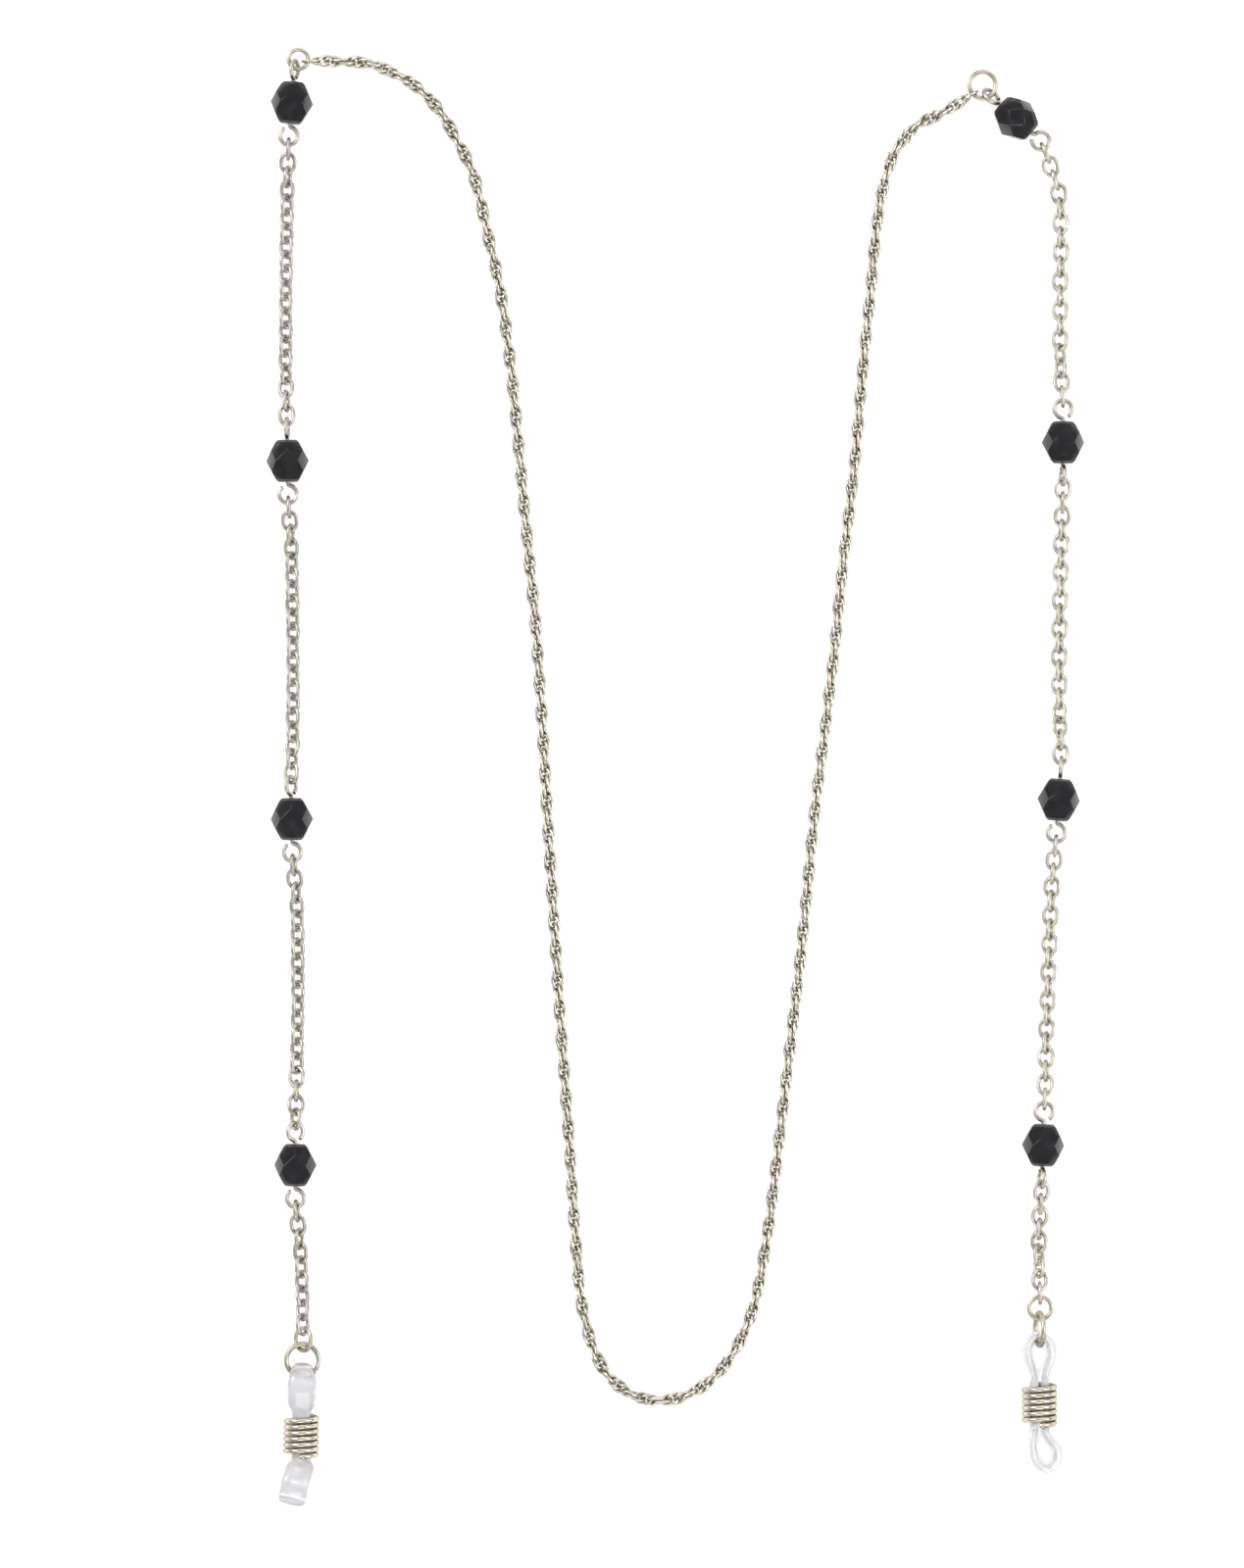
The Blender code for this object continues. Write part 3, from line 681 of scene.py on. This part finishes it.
def make_pin(side, number):
    spin = JOINTS[f"{side}_bead_{number}_spin"]
    middle, way = Vector(spin["pos_m"]), Vector(spin["axis"]).normalized()
    bm = bmesh.new()
    for direction, roll in zip((-way, way), LAYOUT[side]["pin_rolls"][number - 1]):
        half = loop_half(roll)
        half.transform(placed(middle, direction))
        mesh = as_mesh(half, "half")
        bm.from_mesh(mesh)
        bpy.data.meshes.remove(mesh)
    name = f"{side}_pin_{number}"
    piece(f"{name}_wire", bm, "pin", "pin", f"{side}_looped_pin_{number}", name)


# Rings


def make_ring(name, body, node, size, direction, roll, cut_at):
    """A jump ring of round wire, closed but for the hairline of its cut."""
    diameter, wire = size
    bm = bmesh.new()
    ring = section(bm, wire / 2, 14, ((diameter - wire) / 2, 0, 0))
    bmesh.ops.spin(bm, geom=ring, cent=(0, 0, 0), axis=UP, angle=radians(RING_TURN), steps=56)
    close_ends(bm)
    bm.transform(placed(middle_of(node), direction, roll) @ Matrix.Rotation(radians(cut_at), 4, "Z"))
    piece(name, bm, "ring", "chain", body, node)


# Grippers


def make_coil(side, direction):
    """The sliding coil. Gives back its middle."""
    node = f"{side}_gripper_coil"
    middle = Vector(JOINTS[f"{side}_coil_slide"]["pos_m"])
    bm = bmesh.new()
    steps = ceil(COIL_TURNS * COIL_STEPS)
    advance = COIL_PITCH * COIL_TURNS
    ring = section(bm, COIL_WIRE / 2, 14, ((COIL_OUTER - COIL_WIRE) / 2, 0, -advance / 2))
    bmesh.ops.spin(
        bm, geom=ring, cent=(0, 0, 0), axis=UP, dvec=(0, 0, advance / steps),
        angle=2 * pi * COIL_TURNS, steps=steps,
    )
    close_ends(bm)
    upright = Matrix.Rotation(pi / 2, 4, "Y")
    bm.transform(placed(middle, direction) @ upright)
    piece(f"{node}_wire", bm, "coil", "coil", f"{side}_sliding_coil", node)
    return middle


CORNERS = [
    (1.0, 0.4), (0.62, 1.0), (-0.62, 1.0), (-1.0, 0.4),
    (-1.0, -0.4), (-0.62, -1.0), (0.62, -1.0), (1.0, -0.4),
]


def band_half(way, reach, widest, tip):
    """One loop of the band as (along, across, width, thick), from the split to the tip and back."""
    neck = COIL_LENGTH / 2
    inside = (NECK_GAP + NECK_THICK) / 2
    bulge = widest * reach
    tip_width, tip_thick = tip
    split = BAND_SPLIT + way * SPLIT_GAP
    in_coil = (way * neck - split) / SPLIT_ROWS
    side = [(split + in_coil * i, inside, NECK_WIDTH, NECK_THICK) for i in range(SPLIT_ROWS)]
    for i in range(MOUTH_ROWS + 1):
        t = i / MOUTH_ROWS
        opened, swollen = eased(t), eased(min(t * MOUTH_SWELL, 1))
        side.append((
            way * (neck + bulge * t),
            inside + (LOOP_SPREAD - inside) * opened,
            NECK_WIDTH + (BAND_WIDTH - NECK_WIDTH) * swollen,
            NECK_THICK + (BAND_THICK - NECK_THICK) * opened,
        ))
    for i in range(1, TIP_ROWS + 1):
        t = i / TIP_ROWS
        side.append((
            way * (neck + bulge + (reach - bulge) * sin(pi / 2 * t)),
            LOOP_SPREAD * cos(pi / 2 * t),
            BAND_WIDTH + (tip_width - BAND_WIDTH) * t,
            BAND_THICK + (tip_thick - BAND_THICK) * t,
        ))
    return side + [(u, -v, w, t) for u, v, w, t in side[-2::-1]]


def make_band(side, middle, direction):
    """The rubber band's two loops. The temple loop leans."""
    _, _, roll, lean = LAYOUT[side]["gripper"]
    sideways = across(direction, roll)
    flat = direction.cross(sideways)
    node = f"{side}_gripper_band"
    halves = (
        ("ring_loop", -1, RING_LOOP, RING_BULGE, (TIP_WIDTH, TIP_THICK)),
        ("temple_loop", 1, TEMPLE_LOOP, TEMPLE_BULGE, (BAND_WIDTH, BAND_THICK)),
    )
    for label, way, reach, widest, tip in halves:
        path = band_half(way, reach, widest, tip)
        bm = bmesh.new()
        rows = []
        for i, (u, v, width, thick) in enumerate(path):
            before, after = path[max(i - 1, 0)], path[min(i + 1, len(path) - 1)]
            run = Vector((after[0] - before[0], after[1] - before[1])).normalized()
            normal = direction * -run.y + sideways * run.x
            bend = lean * min(max((u - COIL_LENGTH / 2) / (TEMPLE_LOOP / 2), 0), 1)
            pivot = middle + direction * (COIL_LENGTH / 2)
            swing = Matrix.Translation(pivot) @ Matrix.Rotation(radians(bend), 4, "Z")
            centre = middle + direction * u + sideways * v - pivot
            made = bmesh.ops.create_circle(bm, segments=8, radius=1)["verts"]
            for vert, (edge, face) in zip(made, CORNERS):
                vert.co = swing @ (centre + flat * (width / 2 * edge) + normal * (thick / 2 * face))
            rows.append(made)
        for row, following in zip(rows, rows[1:]):
            bmesh.ops.bridge_loops(bm, edges=loop_edges(row) + loop_edges(following))
        bmesh.ops.holes_fill(bm, edges=[e for e in bm.edges if e.is_boundary])
        face_outward(bm)
        nodes = [node] if way < 0 else []
        obj = piece(f"{side}_{label}", bm, "rubber", "rubber", f"{side}_temple_gripper", *nodes)
        finer = obj.modifiers.new("rounded", "SUBSURF")
        finer.levels = finer.render_levels = 2
        if way > 0:
            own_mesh(obj)


def make_gripper(side):
    turn, _, _, _ = LAYOUT[side]["gripper"]
    direction = heading(turn)
    middle = make_coil(side, direction)
    make_band(side, middle, direction)


def make_rings(side):
    turn, roll = LAYOUT[side]["small_ring"]
    gripper_turn, gripper_roll, _, _ = LAYOUT[side]["gripper"]
    make_ring(
        f"{side}_neck_jump_ring", f"{side}_neck_ring", f"{side}_top_ring", TOP_RING[side],
        heading(0), 0, 200,
    )
    make_ring(
        f"{side}_small_jump_ring_wire", f"{side}_small_jump_ring", f"{side}_small_ring", SMALL_RING,
        heading(turn), roll, 80,
    )
    make_ring(
        f"{side}_gripper_jump_ring_wire", f"{side}_gripper_jump_ring", f"{side}_gripper_ring", GRIPPER_RING,
        heading(gripper_turn), gripper_roll, 60,
    )


# Table and light

TABLE_REACH = 2.5


def make_table():
    """The pale table, far past what the camera sees."""
    bm = bmesh.new()
    bmesh.ops.create_grid(bm, x_segments=1, y_segments=1, size=TABLE_REACH)
    mesh = as_mesh(bm, "table_top")
    mesh.materials.append(table_top())
    table = bpy.data.objects.new("table_top", mesh)
    bpy.context.scene.collection.objects.link(table)


def softbox(name, place, size, power, mirrored=True):
    """An area lamp that faces the origin."""
    light = bpy.data.lights.new(name, "AREA")
    light.shape = "RECTANGLE"
    light.size, light.size_y = size
    light.energy = power
    lamp = bpy.data.objects.new(name, light)
    lamp.location = place
    lamp.visible_glossy = mirrored
    lamp.rotation_euler = (-Vector(place)).to_track_quat("-Z", "Y").to_euler()
    bpy.context.scene.collection.objects.link(lamp)


def make_light():
    """Softboxes all round. The one overhead isn't mirrored, so that facets that face up stay black."""
    world = bpy.data.worlds.new("room")
    world.use_nodes = True
    background = world.node_tree.nodes["Background"]
    background.inputs["Color"].default_value = (1.0, 0.99, 0.97, 1)
    background.inputs["Strength"].default_value = 0.50
    bpy.context.scene.world = world
    bpy.context.scene.view_settings.view_transform = "Standard"
    softbox("key", (-0.9, 0.5, 1.0), (0.7, 0.7), 13.0)
    softbox("fill", (1.0, -0.1, 0.9), (0.7, 0.7), 10.4)
    softbox("front", (0.0, -1.1, 0.9), (0.8, 0.5), 6.9)
    softbox("back", (0.2, 1.1, 0.8), (0.8, 0.5), 5.8)
    softbox("overhead", (0.0, 0.0, 1.4), (0.6, 0.6), 13.0, mirrored=False)


make_rope()
for side in ("left", "right"):
    rolls = LAYOUT[side]["pin_rolls"]
    for number in range(1, 5):
        # A pin's first loop faces the chain, so its roll is the other way round from there
        next_roll = -rolls[number][0] if number < 4 else LAYOUT[side]["small_ring"][1]
        make_cable(side, number, rolls[number - 1][1] + 90, next_roll + 90)
        make_bead(side, number)
        make_pin(side, number)
    make_rings(side)
    make_gripper(side)
make_table()
make_light()
